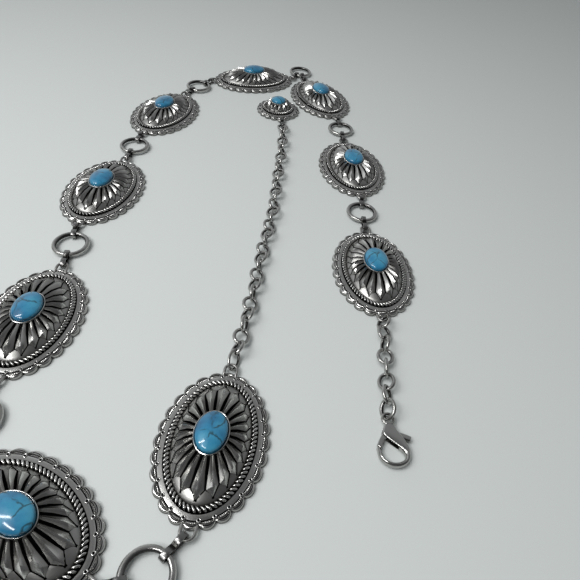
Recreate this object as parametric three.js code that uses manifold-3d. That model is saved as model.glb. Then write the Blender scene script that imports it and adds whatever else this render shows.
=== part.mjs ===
import * as THREE from 'three';
import { mergeVertices } from 'three/addons/utils/BufferGeometryUtils.js';
import Module from 'manifold-3d';

// A concho belt laid out on a table: nine oval cast conchos joined by rings and pinched strip
// connectors, a short chain and a lobster clasp at one end, a long extender chain and a small round concho
// at the other.
// Millimetres, +Z up, the conchos' flat rims on z = 0. The belt is viewed along +Y.

const wasm = await Module();
wasm.setup();

// Fit between pieces that touch on the real belt
const clearance = 0.3;
const stoneClearance = 0.25;

// Oval concho: outline, scalloped rim, rope border, petal dome
const conchoLength = 60;
const conchoWidth = 41;
const rimHeight = 2;
const scallopCount = 26;
const scallopDepth = 1.6;
const borderWidth = 4.8;
const borderHeight = 2.7;
const ropeWidth = 1.9;
const ropeHeight = 3.9;
const petalCount = 22;
const petalMargin = 2.4;
const petalRelief = 0.9;
const petalFootHeight = 3.1;
const petalFootDip = 0.1;
const domeHeight = 8;
const castWall = 1.8;
const cavityCrown = 0.2;
const edgeSteps = 18;
const footSteps = 14;
const cavitySteps = 10;

// Oval cabochon and its bezel cup
const stoneLength = 15.6;
const stoneWidth = 11.2;
const stoneHeight = 3.6;
const bezelWall = 0.5;
const bezelHeight = 0.95;
const stoneSteps = 12;

// Small round concho on the extender chain
const dropDiameter = 30;
const dropScallopCount = 18;
const dropPetalCount = 14;
const dropBorderWidth = 4.1;
const dropDomeHeight = 6.9;
const dropStoneDiameter = 9.8;
const dropStoneHeight = 3;

// Cast eye at the ends of a concho's long axis
const eyeWire = 1.2;
const eyeHalfWidth = 2.4;
const eyeReach = 1;
const eyeHeight = 2.2;
const eyeRootHeight = 1.4;
const eyeSteps = 6;

// Round ring
const ringDiameter = 17.4;
const ringWire = 2.2;
const ringSteps = 12;
const wireSides = 5;

// Pinched strip connector, a figure 8 from the side
const stripThickness = 0.7;
const stripWidth = 2.2;
const lobeLength = 3.95;
const lobeHeight = 2.8;
const waistWeb = 1.35;

// Oval chain link and the larger bail
const linkLength = 8.8;
const linkWidth = 7.6;
const linkWire = 1.35;
const linkBite = 0.19;
const linkHeight = 3;
const linkRest = 0.05;
const linkSteps = 10;
const conchosPerExtender = 3.25;
const claspLinks = 8;
const bailLength = 9.6;
const bailWidth = 6.6;
const bailWire = 1.2;
const bailRollAngle = 53;
const bailTiltAngle = 16;
const threadRollAngle = 48;
const threadTiltAngle = 21;
const threadDepth = 2.2;
const threadHeight = 3.2;
const endTiltAngle = 6;
const endRise = 0.35;

// Lobster clasp
const claspLength = 21.8;
const claspWidth = 12.2;
const claspThickness = 3.6;
const claspEyeDiameter = 5.6;
const claspEyeWire = 1.2;
const leverThickness = 1.7;
const pivotDiameter = 1.6;
const pinInset = 0.1;
const pinSides = 8;

// Where the nearest concho lies, and the heading of its long axis in degrees
const firstPlace = { x: -20.2, y: 82.9, heading: -92.3 };

// One row for each ring: the direction of the connector that leads to it, the direction of the one that
// leaves it, how far the two are from taut, and the heading of the concho that follows
const beltRoute = [
  { toRing: -124, fromRing: -161, slack: 0, heading: 151 },
  { toRing: 100, fromRing: 96, slack: 0, heading: 90.5 },
  { toRing: 99, fromRing: 101, slack: 0, heading: 86 },
  { toRing: 90, fromRing: 90.5, slack: 0, heading: 78 },
  { toRing: 68, fromRing: 57.5, slack: 0, heading: 21 },
  { toRing: 69, fromRing: -72.5, slack: 1.4, heading: -63.5 },
  { toRing: -79, fromRing: -81.5, slack: 0, heading: -79 },
  { toRing: -89.5, fromRing: -83, slack: 0.5, heading: -83 },
];

// Headings along the extender chain, at shares of its links, and of the small concho after it
const extenderRoute = [
  { share: 0, heading: 85 },
  { share: 0.08, heading: 87 },
  { share: 0.25, heading: 90 },
  { share: 0.42, heading: 87 },
  { share: 0.6, heading: 92.5 },
  { share: 0.8, heading: 91.5 },
  { share: 1, heading: 96 },
];
const dropHeading = 104;
const claspChainHeading = -90;
const claspHeading = -86;
const extenderTwistAngle = 61.6;
const claspTwistAngle = -76.5;

const silver = { color: 0x8f8e8c, roughness: 0.35, metalness: 1 };
const nickel = { color: 0xa5a5a3, roughness: 0.22, metalness: 1 };
const turquoise = { color: 0x3f8fb5, roughness: 0.15, metalness: 0 };

const belt = new THREE.Group();

const radians = THREE.MathUtils.degToRad;
const direction = (heading) => new THREE.Vector2(Math.cos(radians(heading)), Math.sin(radians(heading)));
const along = (point, heading, distance) => point.clone().addScaledVector(direction(heading), distance);

// Solids: to manifold and back

const weldDistance = 1e-4;

function bare(geometry) {
  const copy = geometry.clone();
  copy.deleteAttribute('normal');
  copy.deleteAttribute('uv');
  return mergeVertices(copy, weldDistance);
}

function solid(geometry) {
  const shape = bare(geometry);
  return new wasm.Manifold(new wasm.Mesh({
    numProp: 3,
    vertProperties: new Float32Array(shape.attributes.position.array),
    triVerts: new Uint32Array(shape.index.array),
  }));
}

function geometryOf(body) {
  const mesh = body.getMesh();
  const geometry = new THREE.BufferGeometry();
  const positions = new Float32Array(mesh.numVert * 3);
  for (let i = 0; i < mesh.numVert; i += 1) {
    for (let k = 0; k < 3; k += 1) positions[3 * i + k] = mesh.vertProperties[i * mesh.numProp + k];
  }
  geometry.setAttribute('position', new THREE.BufferAttribute(positions, 3));
  geometry.setIndex(new THREE.BufferAttribute(new Uint32Array(mesh.triVerts), 1));
  return geometry;
}

const slivers = 0.05;
const chainSlivers = 0.15;
const join = (geometries, finest = slivers) => geometryOf(geometries.map(solid)
  .reduce((whole, next) => whole.add(next)).asOriginal().simplify(finest));
const cut = (geometry, tool) => geometryOf(solid(geometry).subtract(solid(tool)));

function add(name, geometry, finish) {
  const shape = geometry.attributes.normal ? bare(geometry) : geometry.clone();
  const mesh = new THREE.Mesh(shape, new THREE.MeshStandardMaterial(finish));
  mesh.geometry.computeVertexNormals();
  mesh.name = name;
  belt.add(mesh);
  return mesh;
}

function lay(mesh, point, heading, height = 0) {
  mesh.position.set(point.x, point.y, height);
  mesh.rotation.z = radians(heading);
  return mesh;
}

// Castings: a skin stitched over level ovals, from the middle of the underside to the middle of the top

function oval(halfLength, halfWidth, height, count, lift = () => 0) {
  const points = new THREE.EllipseCurve(0, 0, halfLength, halfWidth).getSpacedPoints(count);
  return points.slice(0, count).map(({ x, y }, i) => {
    const at = new THREE.Vector3(x, y, height + lift(i));
    return { share: i / count, at };
  });
}

function scallopedOval(halfLength, halfWidth, height, count) {
  const curve = new THREE.EllipseCurve(0, 0, halfLength, halfWidth);
  const ring = [];
  for (let i = 0; i < count; i += 1) {
    for (const [offset, depth] of [[-0.5, scallopDepth], [0, 0]]) {
      const share = (i + offset) / count;
      const p = curve.getPointAt((share + 1) % 1);
      const inward = 1 - depth / p.length();
      ring.push({ share, at: new THREE.Vector3(p.x * inward, p.y * inward, height) });
    }
  }
  return ring;
}

const shareTie = 1e-9;

function skin(rings, lowHeight, highHeight) {
  const points = [];
  const faces = [];
  const keep = (point) => points.push(point.x, point.y, point.z) / 3 - 1;
  const low = keep(new THREE.Vector3(0, 0, lowHeight));
  const rows = rings.map((ring) => ring.map(({ share, at }) => ({ share, id: keep(at) })));
  const high = keep(new THREE.Vector3(0, 0, highHeight));
  rows[0].forEach((p, i, row) => faces.push(low, row[(i + 1) % row.length].id, p.id));
  for (let r = 1; r < rows.length; r += 1) {
    const [a, b] = [rows[r - 1], rows[r]];
    const shareOf = (row, i) => row[i % row.length].share + Math.floor(i / row.length);
    let i = 0;
    let j = 0;
    while (i < a.length || j < b.length) {
      const lowerFirst = shareOf(a, i + 1) <= shareOf(b, j + 1) + shareTie;
      const stepLower = j >= b.length || (i < a.length && lowerFirst);
      const [p, q] = [a[i % a.length].id, b[j % b.length].id];
      if (stepLower) faces.push(p, a[(i + 1) % a.length].id, q);
      else faces.push(p, b[(j + 1) % b.length].id, q);
      if (stepLower) i += 1;
      else j += 1;
    }
  }
  rows[rows.length - 1].forEach((p, i, row) => faces.push(high, p.id, row[(i + 1) % row.length].id));
  const geometry = new THREE.BufferGeometry();
  geometry.setAttribute('position', new THREE.Float32BufferAttribute(points, 3));
  geometry.setIndex(faces);
  return geometry;
}

// A wire swept along a path, with flat ends
function wireAlong(path, diameter, steps) {
  const circle = new THREE.EllipseCurve(0, 0, diameter / 2, diameter / 2);
  const section = new THREE.Shape(circle.getPoints(wireSides).slice(0, wireSides));
  return new THREE.ExtrudeGeometry(section, { steps, extrudePath: path, bevelEnabled: false });
}

// The cast eye beyond one end of a concho whose half length is given
function castEye(halfLength) {
  const centre = halfLength + eyeReach;
  const root = halfLength - castWall;
  const bow = new THREE.EllipseCurve(centre, 0, eyeHalfWidth, eyeHalfWidth, -Math.PI / 2, Math.PI / 2);
  const rootAt = (side) => new THREE.Vector3(root, side * eyeHalfWidth, eyeRootHeight);
  const points = bow.getPoints(eyeSteps).map((p) => new THREE.Vector3(p.x, p.y, eyeHeight));
  const path = new THREE.CatmullRomCurve3([rootAt(-1), ...points, rootAt(1)]);
  return wireAlong(path, eyeWire, eyeSteps + 2);
}

// Places on the dome, as shares of the way from the rope's inner foot to the bezel
const domeShares = { cavity: 0.75, shoulder: 0.6, shoulderRise: 0.76 };

function castingRings({ halfLength, halfWidth, border, scallops, petals, dome, seatLength, seatWidth }) {
  const at = (inset) => [halfLength - inset, halfWidth - inset];
  const bezel = (inset) => [seatLength / 2 + stoneClearance + bezelWall - inset,
    seatWidth / 2 + stoneClearance + bezelWall - inset];
  const between = (share) => at(border + ropeWidth).map((foot, k) => foot + (bezel(0)[k] - foot) * share);
  const ridge = (i) => (i % 2 ? 0 : petalRelief);
  const shoulderHeight = petalFootHeight + (dome - petalFootHeight) * domeShares.shoulderRise;
  return [
    oval(...between(domeShares.cavity), dome - castWall - cavityCrown, cavitySteps),
    oval(...at(border), 0, footSteps),
    scallopedOval(...at(0), 0, scallops),
    scallopedOval(...at(0), rimHeight, scallops),
    oval(...at(border), borderHeight, edgeSteps),
    oval(...at(border + ropeWidth / 2), ropeHeight, edgeSteps),
    oval(...at(border + ropeWidth), petalFootHeight - petalFootDip, edgeSteps),
    oval(...at(border + petalMargin + ropeWidth / 2), petalFootHeight, petals * 2, ridge),
    oval(...between(domeShares.shoulder), shoulderHeight, petals),
    oval(...bezel(0), dome, stoneSteps),
    oval(...bezel(bezelWall / 2), dome + bezelHeight, stoneSteps),
    oval(...bezel(bezelWall), dome, stoneSteps),
  ];
}

function casting(sizes, eyeEnds) {
  const body = skin(castingRings(sizes), sizes.dome - castWall, sizes.dome);
  const eyes = eyeEnds.map((turn) => castEye(sizes.halfLength).rotateZ(radians(turn)));
  return join([body, ...eyes]);
}

// A cabochon's section, as shares of its height and of its half width
const stoneShares = { girdle: 0.3, shoulder: 0.76, shoulderRise: 0.78 };

function cabochon(length, width, height, seat) {
  const { girdle, shoulder, shoulderRise } = stoneShares;
  const [a, b] = [length / 2, width / 2];
  return skin([
    oval(a, b, seat, stoneSteps),
    oval(a, b, seat + height * girdle, stoneSteps),
    oval(a * shoulder, b * shoulder, seat + height * shoulderRise, stoneSteps),
  ], seat, seat + height);
}

const ovalSizes = {
  halfLength: conchoLength / 2,
  halfWidth: conchoWidth / 2,
  border: borderWidth,
  scallops: scallopCount,
  petals: petalCount,
  dome: domeHeight,
  seatLength: stoneLength,
  seatWidth: stoneWidth,
};
const dropSizes = {
  halfLength: dropDiameter / 2,
  halfWidth: dropDiameter / 2,
  border: dropBorderWidth,
  scallops: dropScallopCount,
  petals: dropPetalCount,
  dome: dropDomeHeight,
  seatLength: dropStoneDiameter,
  seatWidth: dropStoneDiameter,
};

const conchoGeometry = casting(ovalSizes, [0, 180]);
const stoneGeometry = cabochon(stoneLength, stoneWidth, stoneHeight, domeHeight + clearance);

function addConcho(number, place, heading) {
  lay(add(`concho_${number}`, conchoGeometry, silver), place, heading);
  lay(add(`stone_${number}`, stoneGeometry, turquoise), place, heading);
}

// Rings and connectors

const ringRadius = (ringDiameter - ringWire) / 2;
const ringHeight = stripThickness + clearance + ringWire / 2;
const lobeCentre = (lobeLength + waistWeb) / 2;
const stripHalfHeight = lobeHeight / 2 + stripThickness;

// Where a wire's centre lies when it is pulled to the end of its lobe, from the connector's middle. The
// corners of the lobe's end wall meet the inside of the wire's bend first.
function lobeHold(halfLength, halfWidth, wire, steps) {
  const flat = Math.cos(Math.PI / steps);
  const inside = halfLength * flat - wire / 2 - clearance;
  const room = halfWidth * flat - wire / 2 - clearance;
  const wall = inside * Math.sqrt(1 - (stripWidth / 2 / room) ** 2);
  return lobeCentre + lobeLength / 2 - (halfLength - wall);
}

// The strip's bends, as shares of its half height, and how much a lobe's end wall is lower than its mouth
const stripShares = { shoulder: 0.55, corner: 0.45, waist: 0.68, taper: 0.09 };

function connectorGeometry() {
  const end = lobeCentre + lobeLength / 2 + stripThickness;
  const crest = end - stripHalfHeight * stripShares.shoulder;
  const dip = lobeCentre - lobeLength / 2 + stripThickness / 2;
  const corner = stripHalfHeight * stripShares.corner;
  const waist = stripHalfHeight * stripShares.waist;
  const quarter = [[end, corner], [crest, stripHalfHeight], [dip, stripHalfHeight]];
  const mirrored = quarter.map(([x, y]) => [-x, y]).reverse();
  const upper = [...quarter, [0, waist], ...mirrored];
  const outline = [...upper, ...upper.map(([x, y]) => [-x, -y])];
  const shape = new THREE.Shape(outline.map(([x, y]) => new THREE.Vector2(x, y)));
  for (const side of [-1, 1]) {
    const [inner, outer] = [side * (lobeCentre - lobeLength / 2), side * (lobeCentre + lobeLength / 2)];
    const [tall, short] = [1, -1].map((way) => lobeHeight / 2 * (1 + way * stripShares.taper));
    shape.holes.push(new THREE.Path([[inner, -tall], [outer, -short], [outer, short], [inner, tall]]
      .map(([x, y]) => new THREE.Vector2(x, y))));
  }
  const body = new THREE.ExtrudeGeometry(shape, { depth: stripWidth, bevelEnabled: false });
  return body.translate(0, 0, -stripWidth / 2).rotateX(Math.PI / 2).translate(0, 0, stripHalfHeight);
}

const stripGeometry = connectorGeometry();
const ringGeometry = new THREE.TorusGeometry(ringRadius, ringWire / 2, wireSides, ringSteps);

const eyeHold = lobeHold(eyeHalfWidth, eyeHalfWidth, eyeWire, 2 * eyeSteps + 1);
const ringHold = lobeHold(ringRadius, ringRadius, ringWire, ringSteps);
const linkHold = lobeHold((linkLength - linkWire) / 2, (linkWidth - linkWire) / 2, linkWire, linkSteps);

// A connector from the eye wire at one point to the wire at another, its middle between them
function addConnector(name, eyePoint, wirePoint, hold) {
  const heading = THREE.MathUtils.radToDeg(Math.atan2(wirePoint.y - eyePoint.y, wirePoint.x - eyePoint.x));
  const offset = (eyeHold - hold) / 2;
  const middle = eyePoint.clone().add(wirePoint).multiplyScalar(0.5);
  lay(add(name, stripGeometry, nickel), along(middle, heading, offset), heading);
}

// The belt from its first concho to its last

const eyeCentre = (point, turn, side) => along(point, turn, side * (ovalSizes.halfLength + eyeReach));
const taut = eyeHold + ringHold;
let place = new THREE.Vector2(firstPlace.x, firstPlace.y);
let heading = firstPlace.heading;
addConcho(1, place, heading);
const firstEye = eyeCentre(place, heading, -1);

beltRoute.forEach((row, index) => {
  const number = index + 1;
  const reach = taut - row.slack;
  const exit = eyeCentre(place, heading, 1);
  const exitHold = along(exit, row.toRing, eyeHalfWidth);
  const enterRing = along(exitHold, row.toRing, reach);
  const ring = along(enterRing, row.toRing, ringRadius);
  const leaveRing = along(ring, row.fromRing, ringRadius);
  const entryHold = along(leaveRing, row.fromRing, reach);
  const entry = along(entryHold, row.fromRing, eyeHalfWidth);
  addConnector(`connector_${number}a`, exitHold, enterRing, ringHold);
  lay(add(`ring_${number}`, ringGeometry, nickel), ring, row.toRing, ringHeight);
  addConnector(`connector_${number}b`, entryHold, leaveRing, ringHold);
  heading = row.heading;
  place = along(entry, heading, ovalSizes.halfLength + eyeReach);
  addConcho(number + 1, place, heading);
});

// Chains: each link is an oval wire ring, rolled about the chain's line and biting into its neighbour

class OvalCurve extends THREE.Curve {
  constructor(halfLength, halfWidth) {
    super();
    this.halfLength = halfLength;
    this.halfWidth = halfWidth;
  }

  getPoint(t, target = new THREE.Vector3()) {
    const turn = 2 * Math.PI * t;
    return target.set(this.halfLength * Math.cos(turn), this.halfWidth * Math.sin(turn), 0);
  }
}

const linkPitch = linkLength - 2 * linkWire + linkBite;
const linkHalf = (linkLength - linkWire) / 2;
const extenderLinks = Math.floor(conchosPerExtender * conchoLength / linkPitch);

// A loop in its own frame, rolled about +X and then tilted so that its +X end rises
function loop(length, width, wire, roll, tilt = 0) {
  const curve = new OvalCurve((length - wire) / 2, (width - wire) / 2);
  const tube = new THREE.TubeGeometry(curve, linkSteps, wire / 2, wireSides, true);
  return tube.rotateX(radians(roll)).rotateY(radians(-tilt));
}

const link = (roll, tilt = 0) => loop(linkLength, linkWidth, linkWire, roll, tilt);
const laid = (geometry, point, heading, height) => geometry.rotateZ(radians(heading))
  .translate(point.x, point.y, height);

// A link lying or leaning on the table
function linkAt(point, linkHeading, roll) {
  const rise = (linkWidth - linkWire) / 2 * Math.abs(Math.sin(radians(roll)));
  const standing = linkWire / 2 + rise + linkRest;
  return laid(link(roll), point, linkHeading, Math.max(linkHeight, standing));
}

// A loop threaded through a flat eye: one side over the eye's wire and one under it, its far end tipped up
const threadedAt = (point, loopHeading, geometry) => laid(geometry, point, loopHeading, threadHeight);

function headingAt(route, share) {
  const next = Math.max(1, route.findIndex((row) => row.share >= share));
  const [a, b] = [route[next - 1], route[next]];
  return a.heading + (b.heading - a.heading) * (share - a.share) / (b.share - a.share);
}

// The bail hangs in the first concho's free eye, and the extender's first link in the bail
const bailHeading = extenderRoute[0].heading;
const bailHalf = (bailLength - bailWire) / 2;
const firstHold = along(firstEye, bailHeading, eyeHalfWidth);
const bailNear = along(firstHold, bailHeading, -threadDepth);
const bailCentre = along(bailNear, bailHeading, bailHalf);
const bail = loop(bailLength, bailWidth, bailWire, bailRollAngle, bailTiltAngle);
add('bail', threadedAt(bailCentre, bailHeading, bail), nickel);

const chainStart = along(bailCentre, bailHeading, bailHalf - bailWire / 2 - linkWire / 2 - 2 * clearance);
// The chain twists evenly from its first link's roll to a last link that lies flat
const lastLink = extenderLinks - 1;
const startRoll = -threadRollAngle;
const halfTurns = Math.round((startRoll + extenderTwistAngle * lastLink) / 180);
const evenTwist = (180 * halfTurns - startRoll) / lastLink;
let linkCentre = along(chainStart, bailHeading, linkHalf);
const extender = [threadedAt(linkCentre, bailHeading, link(startRoll, -threadTiltAngle / 2))];
for (let i = 1; i <= lastLink; i += 1) {
  const turn = headingAt(extenderRoute, i / lastLink);
  linkCentre = along(linkCentre, turn, linkPitch);
  if (i < lastLink) extender.push(linkAt(linkCentre, turn, startRoll + evenTwist * i));
}
const endHeading = extenderRoute[extenderRoute.length - 1].heading;
extender.push(laid(link(0, -endTiltAngle), linkCentre, endHeading, stripHalfHeight + endRise));
add('extender_chain', join(extender, chainSlivers), nickel);

// The strip connector at the extender's end, and the small round concho
const lastHold = along(linkCentre, endHeading, linkHalf);
const dropHold = along(lastHold, dropHeading, linkHold + eyeHold - clearance);
addConnector('connector_drop', dropHold, lastHold, linkHold);
const dropPlace = along(dropHold, dropHeading, eyeHalfWidth + dropSizes.halfLength + eyeReach);
lay(add('drop_concho', casting(dropSizes, [180]), silver), dropPlace, dropHeading);
const dropSeat = dropDomeHeight + clearance;
const dropStone = cabochon(dropStoneDiameter, dropStoneDiameter, dropStoneHeight, dropSeat);
lay(add('drop_stone', dropStone, turquoise), dropPlace, dropHeading);

// The short chain from the last concho's free eye to the clasp
const lastEye = eyeCentre(place, heading, 1);
const lastEyeHold = along(lastEye, claspChainHeading, eyeHalfWidth);
let claspLink = along(lastEyeHold, claspChainHeading, linkHalf - threadDepth);
const claspRun = [threadedAt(claspLink, claspChainHeading, link(threadRollAngle, threadTiltAngle))];
for (let i = 1; i < claspLinks; i += 1) {
  claspLink = along(claspLink, claspChainHeading, linkPitch);
  const roll = threadRollAngle + claspTwistAngle * i;
  if (i < claspLinks - 1) claspRun.push(linkAt(claspLink, claspChainHeading, roll));
}
claspRun.push(threadedAt(claspLink, claspChainHeading, link(threadRollAngle, -threadTiltAngle)));
add('clasp_chain', join(claspRun, chainSlivers), nickel);

// Lobster clasp, drawn with its eye's centre at 0,0 and its hook towards +X. Across counts towards the
// gate, on -Y, and the thumb piece is on +Y.
const claspTable = {
  body: [
    { along: 0.08, across: 0.11 }, { along: 0.24, across: 0.2 }, { along: 0.33, across: 0.23 },
    { along: 0.41, across: 0.15 }, { along: 0.5, across: -0.02 }, { along: 0.6, across: -0.22 },
    { along: 0.72, across: -0.37 }, { along: 0.82, across: -0.37 }, { along: 0.89, across: -0.22 },
    { along: 0.91, across: -0.02 }, { along: 0.87, across: 0.17 }, { along: 0.79, across: 0.28 },
    { along: 0.68, across: 0.31 }, { along: 0.61, across: 0.44 }, { along: 0.8, across: 0.41 },
    { along: 0.91, across: 0.3 }, { along: 0.98, across: 0.12 }, { along: 1, across: -0.05 },
    { along: 0.98, across: -0.26 }, { along: 0.9, across: -0.45 }, { along: 0.76, across: -0.56 },
    { along: 0.6, across: -0.53 }, { along: 0.42, across: -0.4 }, { along: 0.25, across: -0.22 },
    { along: 0.08, across: -0.11 },
  ],
  lever: [
    { along: 0.22, across: 0.02 }, { along: 0.26, across: 0.13 }, { along: 0.34, across: 0.24 },
    { along: 0.46, across: 0.35 }, { along: 0.587, across: 0.435 }, { along: 0.655, across: 0.31 },
    { along: 0.52, across: 0.23 }, { along: 0.42, across: 0.1 }, { along: 0.41, across: -0.02 },
    { along: 0.39, across: -0.14 }, { along: 0.42, across: -0.46 }, { along: 0.46, across: -0.61 },
    { along: 0.36, across: -0.66 }, { along: 0.31, across: -0.46 }, { along: 0.25, across: -0.14 },
  ],
};
const pivot = { along: 0.33, across: 0 };
const claspSlot = { from: 0.2, to: 0.6 };
const claspBody = claspLength - claspEyeDiameter / 2;
const claspPoint = (row) => new THREE.Vector2(row.along * claspBody, -row.across * claspWidth);

function plate(rows, thickness, holes = []) {
  const shape = new THREE.Shape(rows.map(claspPoint).reverse());
  shape.holes.push(...holes);
  const body = new THREE.ExtrudeGeometry(shape, { depth: thickness, bevelEnabled: false });
  return body.translate(0, 0, -thickness / 2);
}

function claspBodyGeometry() {
  const eyeRadius = (claspEyeDiameter - claspEyeWire) / 2;
  const eye = new THREE.TorusGeometry(eyeRadius, claspEyeWire / 2, wireSides, linkSteps);
  eye.translate(0, 0, eyeHeight - claspThickness / 2);
  const slotHeight = leverThickness + 2 * clearance;
  const [from, to] = [claspSlot.from * claspBody, claspSlot.to * claspBody];
  const slot = new THREE.BoxGeometry(to - from, 2 * claspWidth, slotHeight);
  slot.translate((from + to) / 2, 0, 0);
  const at = claspPoint(pivot);
  const pinLength = claspThickness - 2 * pinInset;
  const pin = new THREE.CylinderGeometry(pivotDiameter / 2, pivotDiameter / 2, pinLength, pinSides);
  pin.rotateX(Math.PI / 2).translate(at.x, at.y, 0);
  return join([cut(plate(claspTable.body, claspThickness), slot), pin, eye]);
}

function claspLeverGeometry() {
  const at = claspPoint(pivot);
  const radius = pivotDiameter / 2 + clearance;
  const circle = new THREE.EllipseCurve(at.x, at.y, radius, radius);
  const bore = new THREE.Path(circle.getPoints(pinSides).slice(0, pinSides));
  return plate(claspTable.lever, leverThickness, [bore]);
}

const claspHold = along(claspLink, claspChainHeading, linkHalf - threadDepth);
const claspEye = along(claspHold, claspHeading, (claspEyeDiameter - claspEyeWire) / 2);
lay(add('clasp_body', claspBodyGeometry(), nickel), claspEye, claspHeading, claspThickness / 2);
lay(add('clasp_lever', claspLeverGeometry(), nickel), claspEye, claspHeading, claspThickness / 2);

// The belt's box is centred over the origin
belt.updateMatrixWorld(true);
const middle = new THREE.Box3().setFromObject(belt, true).getCenter(new THREE.Vector3());
belt.position.set(-middle.x, -middle.y, 0);

const part = new THREE.Group();
part.add(belt);

export default part;
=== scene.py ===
import bisect
import math

import bpy
from mathutils import Matrix, Vector, geometry


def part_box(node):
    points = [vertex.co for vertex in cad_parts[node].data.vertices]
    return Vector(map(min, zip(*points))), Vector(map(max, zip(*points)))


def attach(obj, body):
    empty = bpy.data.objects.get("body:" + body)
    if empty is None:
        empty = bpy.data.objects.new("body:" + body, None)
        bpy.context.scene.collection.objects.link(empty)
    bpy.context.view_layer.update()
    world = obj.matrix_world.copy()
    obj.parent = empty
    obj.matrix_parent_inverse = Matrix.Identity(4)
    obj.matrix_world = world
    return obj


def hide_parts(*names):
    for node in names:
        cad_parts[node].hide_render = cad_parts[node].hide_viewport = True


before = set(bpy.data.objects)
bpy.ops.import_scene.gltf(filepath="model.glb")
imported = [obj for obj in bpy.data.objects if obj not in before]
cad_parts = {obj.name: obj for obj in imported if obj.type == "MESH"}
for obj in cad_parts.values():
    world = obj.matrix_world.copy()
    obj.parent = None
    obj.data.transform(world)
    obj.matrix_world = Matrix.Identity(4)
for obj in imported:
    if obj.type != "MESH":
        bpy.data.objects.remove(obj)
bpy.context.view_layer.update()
mm = 0.001


# The belt as it lies: the headings of the conchos' long axes and the chains' routes, as in the part

beltHeadings = [-92.3, 151, 90.5, 86, 78, 21, -63.5, -79, -83]
dropHeading = 104

chainSizes = {
    "length": 8.8,
    "width": 7.6,
    "wire": 1.55,
    "step": 6.29,
    "height": 3.0,
    "clearance": 0.05,
    "ringSegments": 30,
    "wireSegments": 12,
}
extenderSizes = {
    "links": 31,
    "twist": -61.6,
    "startPitch": -10.5,
    "endHeight": 2.45,
    "endPitch": -6,
    "headings": [(0, 85), (0.08, 87), (0.25, 90), (0.42, 87), (0.6, 92.5), (0.8, 91.5), (1, 96)],
}
claspChainSizes = {"links": 8, "twist": -76.5, "heading": -90}
threadSizes = {"roll": 48, "pitch": 21, "height": 3.2}
bailSizes = {"length": 9.6, "width": 6.6, "wire": 1.2, "roll": 53, "pitch": 16, "height": 3.2, "heading": 85}


def middleOf(node):
    low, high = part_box(node)
    return (Vector(low) + Vector(high)) / 2


# Camera: 169 mm above the table, looking down across the belt and turned a little about its own line

cameraSettings = {
    "focalPixels": 499.9,
    "imagePixels": 580,
    "pitch": 45.75,
    "roll": 7.74,
    "height": 168.7,
    "firstConchoFromCamera": (-20.2, 82.9),
    "sensorWidth": 36,
    "clipStart": 0.01,
}


def makeCamera():
    s = cameraSettings
    p, r = math.radians(s["pitch"]), math.radians(s["roll"])
    forward = Vector((0, math.cos(p), -math.sin(p)))
    upright = Vector((0, math.sin(p), math.cos(p)))
    level = Vector((1, 0, 0))
    right = level * math.cos(r) + upright * math.sin(r)
    up = upright * math.cos(r) - level * math.sin(r)
    bpy.ops.object.camera_add()
    camera = bpy.context.object
    camera.name = "photoCamera"
    camera.data.sensor_width = s["sensorWidth"]
    camera.data.lens = s["sensorWidth"] * s["focalPixels"] / s["imagePixels"]
    camera.data.clip_start = s["clipStart"]
    first = middleOf("concho_1")
    offset = s["firstConchoFromCamera"]
    place = Vector((first.x - offset[0] * mm, first.y - offset[1] * mm, s["height"] * mm))
    turn = Matrix((right, up, -forward)).transposed().to_4x4()
    camera.matrix_world = Matrix.Translation(place) @ turn
    bpy.context.scene.camera = camera


makeCamera()
print("camera placed")


# Small helpers for working with one object at a time

weldDistance = 0.00001


def only(*objects):
    if bpy.context.object and bpy.context.object.mode == "EDIT":
        bpy.ops.object.mode_set(mode="OBJECT")
    bpy.ops.object.select_all(action="DESELECT")
    for item in objects:
        item.select_set(True)
    bpy.context.view_layer.objects.active = objects[0]
    return objects[0]


def joined(name, pieces):
    whole = only(*pieces)
    if len(pieces) > 1:
        bpy.ops.object.join()
    whole.name = name
    whole.data.name = name
    return whole


def copyOf(piece, matrix):
    twin = piece.copy()
    twin.data = piece.data.copy()
    bpy.context.collection.objects.link(twin)
    twin.data.transform(matrix)
    return twin


def settle(piece):
    only(piece)
    bpy.ops.object.transform_apply(location=True, rotation=True, scale=True)
    return piece


def applied(piece):
    only(piece)
    for modifier in list(piece.modifiers):
        bpy.ops.object.modifier_apply(modifier=modifier.name)
    return piece


def editAll(piece):
    only(piece)
    bpy.ops.object.mode_set(mode="EDIT")
    bpy.ops.mesh.select_all(action="SELECT")


def leaveEditMode():
    bpy.ops.object.mode_set(mode="OBJECT")


def outward(piece, weld=True):
    editAll(piece)
    if weld:
        bpy.ops.mesh.remove_doubles(threshold=weldDistance)
    bpy.ops.mesh.normals_make_consistent(inside=False)
    leaveEditMode()
    return piece


def bevelled(piece, width, segments, angle=30):
    edge = piece.modifiers.new("edge", "BEVEL")
    edge.width = width * mm
    edge.segments = segments
    edge.limit_method = "ANGLE"
    edge.angle_limit = math.radians(angle)
    return applied(piece)


def smooth(piece, angle):
    only(piece)
    bpy.ops.object.shade_smooth_by_angle(angle=math.radians(angle))
    return piece


# Each vertex keeps how dark it is painted, from 0 on a worn ridge to 1: painted shade in gaps, under parts
# and on the inner sides of wires, with black patina in the silver's grooves
def markShadeAndPatina(piece, values):
    layer = piece.data.attributes.get("shadeAndPatina") or piece.data.attributes.new("shadeAndPatina", "FLOAT", "POINT")
    layer.data.foreach_set("value", values)


# A table whose values are named once, at its head
def namedRows(names, rows):
    return [dict(zip(names.split(), row)) for row in rows]
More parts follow.
